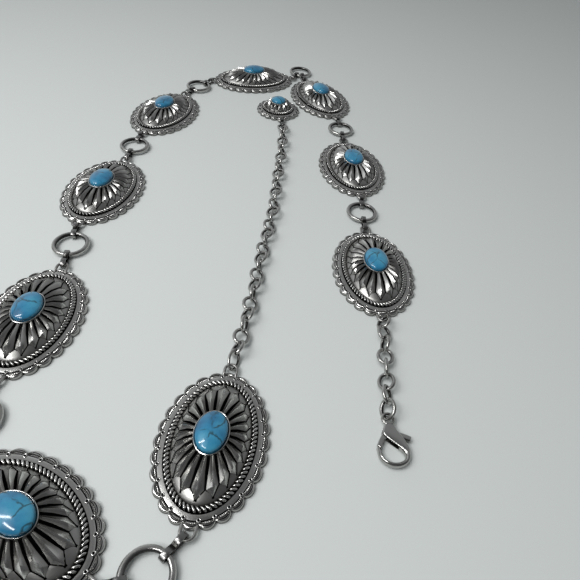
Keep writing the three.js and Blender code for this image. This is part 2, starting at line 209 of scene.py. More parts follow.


# A grid's points are moved one by one: place(column, row) gives a point in mm and how dark it is painted,
# with painted shade and patina
def shapedGrid(name, columns, rows, place, closed=True):
    bpy.ops.mesh.primitive_grid_add(x_subdivisions=columns, y_subdivisions=rows, size=1)
    piece = bpy.context.object
    piece.name = name
    values = []
    for vertex in piece.data.vertices:
        column = round((vertex.co.x + 0.5) * columns)
        row = round((vertex.co.y + 0.5) * rows)
        point, shadeAndPatina = place(column % columns if closed else column, row)
        vertex.co = Vector(point) * mm
        values.append(shadeAndPatina)
    markShadeAndPatina(piece, values)
    return piece


# Ovals are walked in equal steps of their own length

class Oval:
    def __init__(self, halfLength, halfWidth):
        self.a, self.b = halfLength, halfWidth
        steps = 1440
        self.turns = [2 * math.pi * i / steps for i in range(steps + 1)]
        self.run = [0.0]
        for i in range(steps):
            p, q = self.atTurn(self.turns[i]), self.atTurn(self.turns[i + 1])
            self.run.append(self.run[-1] + math.dist(p, q))

    def atTurn(self, turn):
        return (self.a * math.cos(turn), self.b * math.sin(turn))

    def turnAt(self, share):
        goal = (share % 1) * self.run[-1]
        i = min(max(bisect.bisect_right(self.run, goal) - 1, 0), len(self.turns) - 2)
        rest = (goal - self.run[i]) / (self.run[i + 1] - self.run[i])
        return self.turns[i] + rest * (self.turns[i + 1] - self.turns[i])

    def point(self, share):
        x, y = self.atTurn(self.turnAt(share))
        return Vector((x, y, 0))

    def normal(self, share):
        turn = self.turnAt(share)
        return Vector((math.cos(turn) / self.a, math.sin(turn) / self.b, 0)).normalized()

    def inset(self, share, depth):
        return self.point(share) - self.normal(share) * depth


# Cast conchos

ovalConcho = {
    "length": 60,
    "width": 41,
    "scallops": 26,
    "scallopRadius": 3.7,
    "border": 4.8,
    "ropeWidth": 1.9,
    "ropeHeight": 3.9,
    "strands": 76,
    "petals": 22,
    "petalStart": 0.12,
    "domeFoot": 3.1,
    "domeHeight": 8.0,
    "wall": 1.8,
    "seatLength": 15.6,
    "seatWidth": 11.2,
    "bezelWall": 0.5,
    "bezelHeight": 0.95,
    "stoneGap": 0.25,
    "stoneHeight": 3.6,
    "eyeTurns": (0, 180),
}
roundConcho = dict(
    ovalConcho, length=30, width=30, scallops=18, scallopRadius=3.4, border=4.1, strands=42, petals=14,
    petalStart=0.1, domeHeight=6.9, seatLength=9.8, seatWidth=9.8, stoneHeight=3.0, eyeTurns=(180,))

# From the rim's outer foot inwards: a row's depth at the crest of a scallop and at the notch between two, its
# height and how dark it is
# The dark rows are painted shade at the rim's foot, in its grooves and under the rope, with black patina in
# the grooves
rimRows = namedRows("crest notch height dark milled", [
    (0.0, 1.6, 0.1, 0.6),
    (0.0, 1.6, 1.1, 0.2),
    (0.14, 1.64, 1.6, 0.1),
    (0.42, 1.75, 1.86, 0.0),
    (0.75, 1.92, 1.94, 0.0),
    (0.85, 1.98, 1.55, 1.0),
    (1.02, 2.06, 1.55, 1.0),
    (1.08, 2.1, 2.0, 0.05),
    (1.25, 2.2, 2.12, 0.0),
    (1.42, 2.28, 2.0, 0.1),
    (1.48, 2.32, 1.6, 1.0),
    (1.65, 2.36, 1.7, 0.6, True),
    (1.95, 2.4, 1.85, 0.25, True),
    (2.25, 2.44, 1.8, 0.6, True),
    (2.36, 2.48, 1.6, 1.0),
    (2.56, 2.56, 1.6, 1.0),
    (2.66, 2.66, 2.22, 0.0),
    (3.2, 3.2, 2.36, 0.1),
    (3.9, 3.9, 2.48, 0.12),
    (4.35, 4.35, 2.54, 0.15),
    (4.5, 4.5, 2.2, 1.0),
    (7.0, 7.0, 2.2, 1.0),
])
milledLines = {"relief": 0.2, "reach": 0.4, "shine": 0.75}
columnsPerScallop = 18


def scallopDip(s, share):
    r = s["scallopRadius"]
    pitch = Oval(s["length"] / 2, s["width"] / 2).run[-1] / s["scallops"]
    across = (share * s["scallops"] + 0.5) % 1 - 0.5
    return r - math.sqrt(r * r - (across * pitch) ** 2)


# How far along from crest, 0, to notch, 1, each column of a scallop lies
def scallopShares(s):
    deepest = scallopDip(s, 0.5 / s["scallops"])
    columns = s["scallops"] * columnsPerScallop
    return [scallopDip(s, i / columns) / deepest for i in range(columnsPerScallop)]


# A place on a row, which runs in towards the crest and the notch by different depths
def rowPlace(s, outline, spec, share, toNotch):
    scale = s["border"] / ovalConcho["border"]
    depth = (spec["crest"] + (spec["notch"] - spec["crest"]) * toNotch) * scale
    x, y, _ = outline.inset(share, depth)
    return x, y


def rimBand(s, outline):
    columns = s["scallops"] * columnsPerScallop
    shares = scallopShares(s)

    def place(column, row):
        spec = rimRows[row]
        share = column / columns
        x, y = rowPlace(s, outline, spec, share, shares[column % columnsPerScallop])
        across = abs((share * s["scallops"] + 0.5) % 1 - 0.5)
        ridge = spec.get("milled") and column % 2 and across < milledLines["reach"]
        height = spec["height"] + (milledLines["relief"] if ridge else 0)
        return (x, y, height), spec["dark"] - (milledLines["shine"] if ridge else 0)

    return outward(shapedGrid("rim", columns, len(rimRows) - 1, place))


strandSizes = {
    "halfWidth": 0.49,
    "halfLength": 1.45,
    "halfHeight": 0.9,
    "fullness": 0.78,
    "lean": 42,
    "shade": 0.72,
}


def ropeStrands(s, outline):
    size = strandSizes
    depth = s["border"] + s["ropeWidth"] / 2
    path = Oval(outline.a - depth, outline.b - depth)
    bpy.ops.mesh.primitive_uv_sphere_add(segments=8, ring_count=7, radius=1)
    strand = bpy.context.object
    for vertex in strand.data.vertices:
        vertex.co = [math.copysign(abs(c) ** size["fullness"], c) for c in vertex.co]
    strand.scale = (size["halfWidth"] * mm, size["halfLength"] * mm, size["halfHeight"] * mm)
    settle(strand)
    strand.data.transform(Matrix.Rotation(math.radians(size["lean"]), 4, "Z"))
    # Painted highlight and shade: each strand is bright on top and darkens to black towards its foot
    markShadeAndPatina(strand, [max(0.0, min(1.0, size["shade"] - v.co.z / (size["halfHeight"] * mm)))
                        for v in strand.data.vertices])
    rope = []
    for i in range(s["strands"]):
        share = i / s["strands"]
        normal = path.normal(share)
        heading = math.atan2(normal.x, -normal.y)
        point = path.point(share) * mm
        point.z = (s["ropeHeight"] - size["halfHeight"]) * mm
        rope.append(copyOf(strand, Matrix.Translation(point) @ Matrix.Rotation(heading, 4, "Z")))
    bpy.data.objects.remove(strand)
    return joined("rope", rope)


# The small loop where two scallops meet, with painted highlight on its upper half and painted shade below,
# round a dark middle
dotSizes = {"bead": 0.36, "loop": 0.58, "wire": 0.26, "brightAbove": 0.1, "depth": 2.75, "height": 2.3}


def junctionDots(s, outline):
    d = dotSizes
    scale = s["border"] / ovalConcho["border"]
    bpy.ops.mesh.primitive_uv_sphere_add(segments=10, ring_count=6, radius=d["bead"] * mm)
    bead = settle(bpy.context.object)
    markShadeAndPatina(bead, [1.0] * len(bead.data.vertices))
    bpy.ops.mesh.primitive_torus_add(major_radius=d["loop"] * mm, minor_radius=d["wire"] * mm,
                                     major_segments=14, minor_segments=8)
    collar = bpy.context.object
    # Painted highlight above brightAbove, painted shade below it
    markShadeAndPatina(collar, [0.0 if v.co.z > d["brightAbove"] * mm else 1.0 for v in collar.data.vertices])
    dot = joined("dot", [bead, collar])
    dots = []
    for i in range(s["scallops"]):
        point = outline.inset((i + 0.5) / s["scallops"], d["depth"] * scale) * mm
        point.z = d["height"] * mm
        dots.append(copyOf(dot, Matrix.Translation(point)))
    bpy.data.objects.remove(dot)
    return joined("dots", dots)


# The dome between the rope and the bezel, as ovals from the rope's inner foot up
def domeOval(s, outline, climb):
    foot = s["border"] + s["ropeWidth"]
    seat = [(s[side] / 2 + s["stoneGap"] + s["bezelWall"]) for side in ("seatLength", "seatWidth")]
    a = outline.a - foot + (seat[0] - outline.a + foot) * climb
    b = outline.b - foot + (seat[1] - outline.b + foot) * climb
    return a, b


domeCurve = 0.9


def domeHeight(s, climb):
    low = s["domeFoot"]
    return low + (s["domeHeight"] - low) * math.sin(math.pi / 2 * min(1, max(0, climb))) ** domeCurve


# The ground that the petals stand on: grey from the rope to their shoulders, sunk and black between them and
# under the rope with painted shade and patina
domeRows = namedRows("climb sink dark", [
    (-0.02, 1.0, 1.0),
    (0.0, 0.5, 0.5),
    (0.02, 0.15, 0.4),
    (0.06, 0.0, 0.2),
    (0.12, 0.0, 0.15),
    (0.2, 0.02, 0.15),
    (0.27, 0.05, 0.3),
    (0.31, 0.45, 1.0),
    (0.5, 0.6, 1.0),
    (0.75, 0.6, 1.0),
    (1.0, 0.5, 1.0),
])


def domeBand(s, outline):
    columns = 4 * s["petals"]
    ovals = [Oval(*domeOval(s, outline, row["climb"])) for row in domeRows]

    def place(column, row):
        spec = domeRows[row]
        x, y, _ = ovals[row].point(column / columns)
        return (x, y, domeHeight(s, spec["climb"]) - spec["sink"]), spec["dark"]

    return outward(shapedGrid("dome", columns, len(domeRows) - 1, place))


# A petal from its tip to the bezel: how far up the dome, its width against its spacing, the height of its
# ridge and of its two shoulders beside the ridge
petalRows = namedRows("climb width ridge shoulder dark", [
    (-0.05, 0.03, 0.03, 0.03, 1.0),
    (-0.006, 0.03, 0.04, 0.04, 1.0),
    (0.0, 0.03, 0.14, 0.12, 0.1),
    (0.19, 0.86, 1.2, 0.95, 0.0),
    (0.3, 0.83, 1.6, 0.85, 0.0),
    (0.62, 0.66, 1.35, 0.72, 0.0),
    (1.0, 0.5, 1.0, 0.55, 0.1),
])
# Across a petal, from its outline, black with painted shade and patina, over its two flat faces, darker
# towards their foot. Out is in mm beyond the petal's edge.
petalColumns = namedRows("side out part dark", [
    (-1.0, -0.42, "wall", 1.0),
    (-1.0, -0.42, "line", 1.0),
    (-1.0, -0.03, "line", 1.0),
    (-1.0, 0, "foot", 0.25),
    (-0.45, 0, "shoulder", 0.1),
    (0.0, 0, "ridge", 0.0),
    (0.45, 0, "shoulder", 0.1),
    (1.0, 0, "foot", 0.25),
    (1.0, 0.03, "line", 1.0),
    (1.0, 0.42, "line", 1.0),
    (1.0, 0.42, "wall", 1.0),
])
petalHeights = {"wall": -0.7, "line": 0.03, "foot": 0.2}


# Petals are spaced halfway between equal steps along the oval and equal turns about its centre
def spacedTurn(oval, share):
    turn = 2 * math.pi * share
    even = oval.turnAt(share) + 2 * math.pi * math.floor(share)
    polar = math.atan2(oval.a * math.sin(turn), oval.b * math.cos(turn))
    polar += 2 * math.pi * round((turn - polar) / (2 * math.pi))
    return (even + polar) / 2


def petalField(s, outline):
    start = s["petalStart"]
    outer = Oval(*domeOval(s, outline, start))
    inner = Oval(*domeOval(s, outline, 1))
    petals = []
    for i in range(s["petals"]):
        def place(column, row):
            spec, cross = petalRows[row], petalColumns[column]
            share = (i + 0.5 * spec["width"] * cross["side"]) / s["petals"]
            tip = Vector(outer.atTurn(spacedTurn(outer, share)))
            root = Vector(inner.atTurn(spacedTurn(inner, share)))
            point = tip + (root - tip) * spec["climb"]
            away = Vector(((tip - root).y, -(tip - root).x)).normalized()
            point -= away * cross["out"]
            ground = domeHeight(s, start + (1 - start) * spec["climb"])
            lift = petalHeights.get(cross["part"], spec.get(cross["part"]))
            lift = min(lift, spec["ridge"])
            return (point.x, point.y, ground + lift), max(cross["dark"], spec["dark"])

        petals.append(shapedGrid("petal", len(petalColumns) - 1, len(petalRows) - 1, place, closed=False))
    return outward(joined("petals", petals), weld=False)


def bezelCup(s):
    half = [s["seatLength"] / 2 + s["stoneGap"], s["seatWidth"] / 2 + s["stoneGap"]]
    wall, top = s["bezelWall"], s["domeHeight"]
    # Rows with dark 1.0 are painted shade at the bezel's foot and down inside the cup under the stone
    rows = [
        {"out": wall + 0.35, "up": -0.9, "dark": 1.0},
        {"out": wall + 0.3, "up": -0.35, "dark": 1.0},
        {"out": wall, "up": -0.1, "dark": 0.6},
        {"out": wall, "up": s["bezelHeight"] - 0.35, "dark": 0.0},
        {"out": wall - 0.1, "up": s["bezelHeight"] - 0.1, "dark": 0.0},
        {"out": wall - 0.28, "up": s["bezelHeight"], "dark": 0.0},
        {"out": 0.04, "up": s["bezelHeight"] - 0.05, "dark": 0.0},
        {"out": -0.1, "up": s["bezelHeight"] - 0.22, "dark": 0.2},
        {"out": -0.08, "up": s["bezelHeight"] - 0.4, "dark": 1.0},
        {"out": 0.0, "up": 0.0, "dark": 1.0},
    ]
    columns = 72
    ovals = [Oval(half[0] + row["out"], half[1] + row["out"]) for row in rows]

    def place(column, row):
        x, y, _ = ovals[row].point(column / columns)
        return (x, y, top + rows[row]["up"]), rows[row]["dark"]

    cup = shapedGrid("bezel", columns, len(rows) - 1, place)
    floorPiece = shapedGrid("seat", columns, 1, lambda column, row: (
        (*(ovals[-1].point(column / columns) * row)[:2], top), 1.0))
    return outward(joined("bezel", [cup, floorPiece]))


# The hollow back, from the rim's outer foot in to the middle of the cavity
backRows = namedRows("crest notch height", [
    (0.0, 1.6, 0.1),
    (0.2, 1.75, 0.0),
    (3.0, 3.0, 0.0),
    (4.8, 4.8, 0.0),
    (5.8, 5.8, 1.1),
])
backClimbs = [0.25, 0.5, 0.8]
backShade = {"rim": 0.4, "hollow": 0.6}


def backShell(s, outline):
    columns = s["scallops"] * columnsPerScallop
    shares = scallopShares(s)
    inner = [Oval(*domeOval(s, outline, climb)) for climb in backClimbs]

    def place(column, row):
        share = column / columns
        if row < len(backRows):
            x, y = rowPlace(s, outline, backRows[row], share, shares[column % columnsPerScallop])
            return (x, y, backRows[row]["height"]), backShade["rim"]
        if row < len(backRows) + len(backClimbs):
            k = row - len(backRows)
            x, y, _ = inner[k].point(share)
            return (x, y, domeHeight(s, backClimbs[k]) - s["wall"]), backShade["hollow"]
        return (0, 0, s["domeHeight"] - s["wall"]), backShade["hollow"]

    return outward(shapedGrid("back", columns, len(backRows) + len(backClimbs), place))


eyeSizes = {
    "wire": 1.2,
    "halfWidth": 2.4,
    "reach": 1.0,
    "height": 2.2,
    "rootHeight": 1.4,
    "root": 1.8,
    "legSteps": [(0.45, 0.2), (0.55, 0.8)],
    "shade": 0.15,
}


# The cast eye: a round section spun half a turn, its two legs drawn back into the rim
def castEye(s, turn):
    e = eyeSizes
    half = s["length"] / 2
    centre = half + e["reach"]
    bpy.ops.mesh.primitive_circle_add(vertices=14, radius=e["wire"] / 2 * mm, fill_type="NOTHING",
                                      location=(centre * mm, -e["halfWidth"] * mm, e["height"] * mm),
                                      rotation=(0, math.pi / 2, 0))
    eye = settle(bpy.context.object)
    editAll(eye)
    bpy.ops.mesh.spin(steps=20, angle=-math.pi, center=(centre * mm, 0, e["height"] * mm), axis=(0, 0, 1))
    back = (half - e["root"] - centre) * mm
    drop = (e["rootHeight"] - e["height"]) * mm
    bpy.ops.mesh.select_all(action="DESELECT")
    leaveEditMode()
    for side in (-1, 1):
        for vertex in eye.data.vertices:
            vertex.select = abs(vertex.co.x - centre * mm) < weldDistance and vertex.co.y * side > 0
        for edge in eye.data.edges:
            edge.select = all(eye.data.vertices[i].select for i in edge.vertices)
        bpy.ops.object.mode_set(mode="EDIT")
        for inward, down in e["legSteps"]:
            step = (back * inward, 0, drop * down)
            bpy.ops.mesh.extrude_region_move(TRANSFORM_OT_translate={"value": step})
        bpy.ops.mesh.edge_face_add()
        bpy.ops.mesh.select_all(action="DESELECT")
        leaveEditMode()
    outward(eye)
    markShadeAndPatina(eye, [e["shade"]] * len(eye.data.vertices))
    eye.data.transform(Matrix.Rotation(math.radians(turn), 4, "Z"))
    return eye


# Edges sharper than these, in degrees, stay crisp
crispEdges = {"relief": 38, "petals": 22, "stone": 50, "strip": 40, "wire": 60}


def castConcho(name, s):
    outline = Oval(s["length"] / 2, s["width"] / 2)
    smoothParts = [rimBand(s, outline), domeBand(s, outline), backShell(s, outline), bezelCup(s)]
    for piece in smoothParts:
        smooth(piece, crispEdges["relief"])
    facets = smooth(petalField(s, outline), crispEdges["petals"])
    roundParts = [ropeStrands(s, outline), junctionDots(s, outline)]
    roundParts += [castEye(s, turn) for turn in s["eyeTurns"]]
    for piece in roundParts:
        smooth(piece, crispEdges["wire"])
    return joined(name, smoothParts + [facets] + roundParts)


# A cabochon: a straight girdle and a high rounded top
cabochonShape = {"lift": 0.3, "girdle": 0.25, "swell": 1.25, "widest": 1.06, "topCurve": 1.12}


def cabochon(name, s):
    c = cabochonShape
    a, b = s["seatLength"] / 2, s["seatWidth"] / 2
    seat = s["domeHeight"] + c["lift"]
    girdle = c["girdle"]
    bpy.ops.mesh.primitive_uv_sphere_add(segments=64, ring_count=32, radius=1)
    stone = bpy.context.object
    editAll(stone)
    bpy.ops.mesh.bisect(plane_co=(0, 0, 0), plane_no=(0, 0, 1), clear_inner=True, use_fill=False)
    bpy.ops.mesh.select_all(action="DESELECT")
    leaveEditMode()
    for vertex in stone.data.vertices:
        x, y, z = vertex.co
        swell = (1 - (1 - math.hypot(x, y)) ** c["swell"]) / max(math.hypot(x, y), 1e-6)
        swell = min(swell, c["widest"])
        rise = z ** c["topCurve"]
        vertex.co = (x * a * mm * swell, y * b * mm * swell,
                     (seat + s["stoneHeight"] * (girdle + (1 - girdle) * rise)) * mm)
    for edge in stone.data.edges:
        edge.select = all(stone.data.vertices[i].co.z < (seat + s["stoneHeight"] * girdle + 0.01) * mm
                          for i in edge.vertices)
    bpy.ops.object.mode_set(mode="EDIT")
    down = -s["stoneHeight"] * girdle * mm
    bpy.ops.mesh.extrude_region_move(TRANSFORM_OT_translate={"value": (0, 0, down)})
    bpy.ops.mesh.edge_face_add()
    leaveEditMode()
    outward(stone)
    stone.name = name
    return smooth(stone, crispEdges["stone"])


def turnedTo(node, heading):
    place = middleOf(node)
    return Matrix.Translation((place.x, place.y, 0)) @ Matrix.Rotation(math.radians(heading), 4, "Z")


def standFor(piece, node, body="belt"):
    piece.name = node + "_finish"
    piece.data.name = piece.name
    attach(piece, body)
    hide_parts(node)
    return piece


# The eyes make a round concho's box lopsided, so its middle is found from its stone
pattern = castConcho("conchoPattern", ovalConcho)
stonePattern = cabochon("stonePattern", ovalConcho)
conchos, stones = [], []
for number, heading in enumerate(beltHeadings, start=1):
    matrix = turnedTo(f"stone_{number}", heading)
    conchos.append(standFor(copyOf(pattern, matrix), f"concho_{number}"))
    stones.append(standFor(copyOf(stonePattern, matrix), f"stone_{number}"))
for piece in (pattern, stonePattern):
    bpy.data.objects.remove(piece)
dropMatrix = turnedTo("drop_stone", dropHeading)
dropConcho = castConcho("dropPattern", roundConcho)
dropConcho.data.transform(dropMatrix)
conchos.append(standFor(dropConcho, "drop_concho"))
dropStone = cabochon("dropStonePattern", roundConcho)
dropStone.data.transform(dropMatrix)
stones.append(standFor(dropStone, "drop_stone"))
print("conchos and stones made")


# Rings between the conchos

ringSizes = {
    "diameter": 17.4,
    "wire": 2.2,
    "height": 2.1,
    "cutTurn": 3,
    "cutDepth": 0.93,
    "firstTurn": 40,
    "turnStep": 97,
}


def jumpRing(name):
    s = ringSizes
    middle = (s["diameter"] - s["wire"]) / 2 * mm
    radius = s["wire"] / 2 * mm
    bpy.ops.mesh.primitive_torus_add(major_radius=middle, minor_radius=radius, major_segments=72,
                                     minor_segments=18)
    ring = bpy.context.object
    ring.name = name
    # Painted shade: the ring darkens towards black on its inner side
    markShadeAndPatina(ring, [max(0.0, (middle - math.hypot(v.co.x, v.co.y)) / radius) ** 2
                      for v in ring.data.vertices])
    for vertex in ring.data.vertices:
        if abs(math.atan2(vertex.co.y, vertex.co.x)) < math.radians(s["cutTurn"]):
            centre = Vector((vertex.co.x, vertex.co.y, 0)).normalized() * middle
            vertex.co = centre + (vertex.co - centre) * s["cutDepth"]
    return smooth(ring, crispEdges["wire"])


# Pinched strip connector: a loop of flat strip with its long sides pressed together at the middle

stripSizes = {
    "thickness": 0.7,
    "width": 2.2,
    "length": 10.65,
    "height": 4.2,
    "pinch": 0.62,
    "waist": 1.378,
    "endFullness": 0.72,
    "sideFullness": 0.62,
    "steps": 56,
    "edge": 0.16,
    "edgeAngle": 50,
    "darkWaist": 1.7,
    "lobeShade": 0.35,
}


def stripPath(s, share):
    turn = 2 * math.pi * share
    halfLength = (s["length"] - s["thickness"]) / 2
    halfHeight = (s["height"] - s["thickness"]) / 2
    x, z = math.cos(turn), math.sin(turn)
    forward = math.copysign(abs(x) ** s["endFullness"], x) * halfLength
    height = math.copysign(abs(z) ** s["sideFullness"], z) * halfHeight
    waist = math.exp(-(forward / s["waist"]) ** 2)
    return forward, height * (1 - s["pinch"] * waist)


def stripLink(name):
    s = stripSizes
    bpy.ops.mesh.primitive_circle_add(vertices=s["steps"], radius=1, fill_type="NOTHING")
    link = bpy.context.object
    link.name = name
    for i, vertex in enumerate(link.data.vertices):
        forward, up = stripPath(s, i / s["steps"])
        vertex.co = (forward * mm, -s["width"] / 2 * mm, (up + s["height"] / 2) * mm)
    editAll(link)
    bpy.ops.mesh.extrude_region_move(TRANSFORM_OT_translate={"value": (0, s["width"] * mm, 0)})
    bpy.ops.mesh.select_all(action="SELECT")
    bpy.ops.mesh.normals_make_consistent(inside=False)
    leaveEditMode()
    wall = link.modifiers.new("wall", "SOLIDIFY")
    wall.thickness = s["thickness"] * mm
    wall.offset = 0
    bevelled(link, s["edge"], 2, s["edgeAngle"])
    outward(link)
    # Painted shade: the pinched waist darkens to black, the lobes stay lightly shaded
    waist, lobe = s["darkWaist"] * mm, s["lobeShade"]
    markShadeAndPatina(link, [lobe + (1 - lobe) * max(0, 1 - (v.co.x / waist) ** 2) for v in link.data.vertices])
    return smooth(link, crispEdges["strip"])


def headingBetween(start, end):
    return math.degrees(math.atan2(end.y - start.y, end.x - start.x))


ringPattern = jumpRing("ringPattern")
stripPattern = stripLink("stripPattern")
rings, strips = [], []
for number in range(1, 9):
    centre = middleOf(f"ring_{number}")
    lift = Matrix.Translation((0, 0, ringSizes["height"] * mm))
    matrix = turnedTo(f"ring_{number}", ringSizes["firstTurn"] + ringSizes["turnStep"] * number)
    rings.append(standFor(copyOf(ringPattern, matrix @ lift), f"ring_{number}"))
    for letter in "ab":
        node = f"connector_{number}{letter}"
        heading = headingBetween(middleOf(node), centre)
        strips.append(standFor(copyOf(stripPattern, turnedTo(node, heading)), node))
strips.append(standFor(copyOf(stripPattern, turnedTo("connector_drop", dropHeading)), "connector_drop"))
for piece in (ringPattern, stripPattern):
    bpy.data.objects.remove(piece)
print("rings and connectors made")


# Chains: oval wire links, each rolled about the chain's line and biting a little into the next

def wireLoop(length, width, wire, roll, pitch=0):
    s = chainSizes
    startRadius = 0.2
    bpy.ops.mesh.primitive_torus_add(major_radius=1, minor_radius=startRadius,
                                     major_segments=s["ringSegments"], minor_segments=s["wireSegments"])
    link = bpy.context.object
    halfLength, halfWidth = (length - wire) / 2, (width - wire) / 2
    inner = []
    for vertex in link.data.vertices:
        turn = math.atan2(vertex.co.y, vertex.co.x)
        out = Vector((math.cos(turn), math.sin(turn), 0))
        section = (vertex.co - out) / startRadius * wire / 2
        # Painted shade: the wire darkens on the side facing the link's middle
        inner.append(max(0.0, -section.dot(out) / wire * 2) ** 2)
        across = Vector((halfWidth * math.cos(turn), halfLength * math.sin(turn), 0)).normalized()
        centre = Vector((halfLength * math.cos(turn), halfWidth * math.sin(turn), 0))
        vertex.co = (centre + across * section.dot(out) + Vector((0, 0, section.z))) * mm
    markShadeAndPatina(link, inner)
    link.data.transform(Matrix.Rotation(math.radians(-pitch), 4, "Y")
                        @ Matrix.Rotation(math.radians(roll), 4, "X"))
    return link


def plainLink(roll, pitch=0):
    s = chainSizes
    return wireLoop(s["length"], s["width"], s["wire"], roll, pitch)


def restingHeight(roll):
    s = chainSizes
    standing = s["wire"] / 2 + (s["width"] - s["wire"]) / 2 * abs(math.sin(math.radians(roll)))
    return max(s["height"], standing + s["clearance"])


def along(point, heading, distance):
    turn = math.radians(heading)
    return point + Vector((math.cos(turn), math.sin(turn), 0)) * distance


def headingAt(route, share):
    for (low, first), (high, second) in zip(route, route[1:]):
        if share <= high:
            return first + (second - first) * (share - low) / (high - low)
    return route[-1][1]


def placeLoop(link, point, heading, height):
    link.data.transform(Matrix.Translation(Vector((point.x, point.y, height)) * mm)
                        @ Matrix.Rotation(math.radians(heading), 4, "Z"))
    return link


# How far a piece's middle has to move, in x and y, to lie over its solid's
def shiftTo(piece, node):
    goal = middleOf(node)
    places = [[v.co[k] for v in piece.data.vertices] for k in range(2)]
    return [goal[k] - (min(places[k]) + max(places[k])) / 2 for k in range(2)]


# A chain is walked from a start of its own, then moved over its solid with nothing below the table
def seatOver(piece, node):
    lift = max(0, -min(v.co.z for v in piece.data.vertices))
    piece.data.transform(Matrix.Translation(Vector((*shiftTo(piece, node), lift))))
    return piece


def extenderChain():
    s, t = extenderSizes, threadSizes
    point = Vector((0, 0, 0))
    last = s["links"] - 1
    links = []
    for i in range(s["links"]):
        heading = headingAt(s["headings"], i / last)
        if i:
            point = along(point, heading, chainSizes["step"])
        roll = -s["twist"] * (i - last)
        if i == 0:
            links.append(placeLoop(plainLink(roll, s["startPitch"]), point, heading, t["height"]))
        elif i < last:
            links.append(placeLoop(plainLink(roll), point, heading, restingHeight(roll)))
        else:
            links.append(placeLoop(plainLink(0, s["endPitch"]), point, heading, s["endHeight"]))
    return joined("extender", links)


def claspChain():
    s, t = claspChainSizes, threadSizes
    point = Vector((0, 0, 0))
    last = s["links"] - 1
    links = [placeLoop(plainLink(t["roll"], t["pitch"]), point, s["heading"], t["height"])]
    for i in range(1, s["links"]):
        point = along(point, s["heading"], chainSizes["step"])
        roll = t["roll"] + s["twist"] * i
        if i < last:
            links.append(placeLoop(plainLink(roll), point, s["heading"], restingHeight(roll)))
    links.append(placeLoop(plainLink(t["roll"], -t["pitch"]), point, s["heading"], t["height"]))
    return joined("claspChain", links)


def hungFrom(loop, node):
    return standFor(smooth(seatOver(loop, node), crispEdges["wire"]), node)


extender = hungFrom(extenderChain(), "extender_chain")
shortChain = hungFrom(claspChain(), "clasp_chain")
b = bailSizes
bailLoop = wireLoop(b["length"], b["width"], b["wire"], b["roll"], b["pitch"])
bail = hungFrom(placeLoop(bailLoop, Vector((0, 0, 0)), b["heading"], b["height"]), "bail")
print("chains and bail made")


# Lobster clasp, drawn with its eye's centre at 0,0 and its hook towards +X. Across counts towards the gate.

claspSizes = {
    "length": 21.8,
    "width": 12.2,
    "thickness": 3.6,
    "eyeDiameter": 5.6,
    "eyeWire": 1.2,
    "eyeHeight": 2.2,
    "leverThickness": 1.7,
    "heading": -86,
    "pivot": 0.33,
    "pinDiameter": 1.6,
    "pinHead": 0.25,
    "slotStart": 0.2,
    "slotEnd": 0.6,
    "slotRoom": 0.6,
    "bodyEdge": 0.3,
    "leverEdge": 0.4,
    "edgeSegments": 4,
    "edgeAngle": 60,
    "leverCrisp": 40,
    "step": 0.16,
    "easing": 6,
    "roundOver": 2.4,
    "straightWall": 1.15,
    "straightWire": 0.2,
    "wireBlend": 0.1,
    "leastRound": 0.15,
}
reach = claspSizes["length"] - claspSizes["eyeDiameter"] / 2
claspBodyRows = [
    (0.08, 0.11), (0.24, 0.2), (0.33, 0.23), (0.41, 0.15), (0.5, -0.02), (0.6, -0.22), (0.72, -0.37),
    (0.82, -0.37), (0.89, -0.22), (0.91, -0.02), (0.87, 0.17), (0.79, 0.28), (0.68, 0.31), (0.61, 0.44),
    (0.8, 0.41), (0.91, 0.3), (0.98, 0.12), (1, -0.05), (0.98, -0.26), (0.9, -0.45), (0.76, -0.56),
    (0.6, -0.53), (0.42, -0.4), (0.25, -0.22), (0.08, -0.11),
]
claspCorners = (0, 12, 13, 24)
leverRows = [
    (0.22, 0.02), (0.26, 0.13), (0.34, 0.24), (0.46, 0.35), (0.587, 0.435), (0.655, 0.31), (0.52, 0.23),
    (0.42, 0.1), (0.41, -0.02), (0.39, -0.14), (0.42, -0.46), (0.46, -0.61), (0.36, -0.66), (0.31, -0.46),
    (0.25, -0.14),
]
leverCorners = (4, 5, 11, 12)


# An outline that runs smoothly through its rows, apart from its named corners
def plateOutline(rows, corners):
    points = [Vector((forward * reach, -across * claspSizes["width"], 0)) for forward, across in rows]
    count = len(points)
    outline = []
    for i, point in enumerate(points):
        nearCorner = i in corners or (i + 1) % count in corners
        before, after, beyond = points[i - 1], points[(i + 1) % count], points[(i + 2) % count]
        steps = 2 if nearCorner else 5
        for k in range(steps):
            t = k / steps
            leave = (after - before) / 2 if i not in corners else (after - point)
            enter = (beyond - point) / 2 if (i + 1) % count not in corners else (after - point)
            outline.append((2 * t ** 3 - 3 * t ** 2 + 1) * point + (t ** 3 - 2 * t ** 2 + t) * leave
                           + (3 * t ** 2 - 2 * t ** 3) * after + (t ** 3 - t ** 2) * enter)
    return outline


def cutPlate(name, rows, corners, thickness, edgeWidth):
    outline = plateOutline(rows, corners)
    bpy.ops.mesh.primitive_circle_add(vertices=len(outline), radius=1, fill_type="NGON")
    plate = bpy.context.object
    plate.name = name
    for vertex, place in zip(plate.data.vertices, outline):
        vertex.co = (place + Vector((0, 0, -thickness / 2))) * mm
    editAll(plate)
    bpy.ops.mesh.extrude_region_move(TRANSFORM_OT_translate={"value": (0, 0, thickness * mm)})
    leaveEditMode()
    outward(plate)
    return bevelled(plate, edgeWidth, claspSizes["edgeSegments"], claspSizes["edgeAngle"])


def cutAway(piece, tool):
    difference = piece.modifiers.new("cut", "BOOLEAN")
    difference.operation = "DIFFERENCE"
    difference.object = tool
    difference.solver = "EXACT"
    applied(piece)
    bpy.data.objects.remove(tool)
    return piece


def distanceToEdge(here, start, end):
    foot, share = geometry.intersect_point_line(here, start, end)
    if 0 <= share <= 1:
        return (here - foot).length
    return min((here - start).length, (here - end).length)


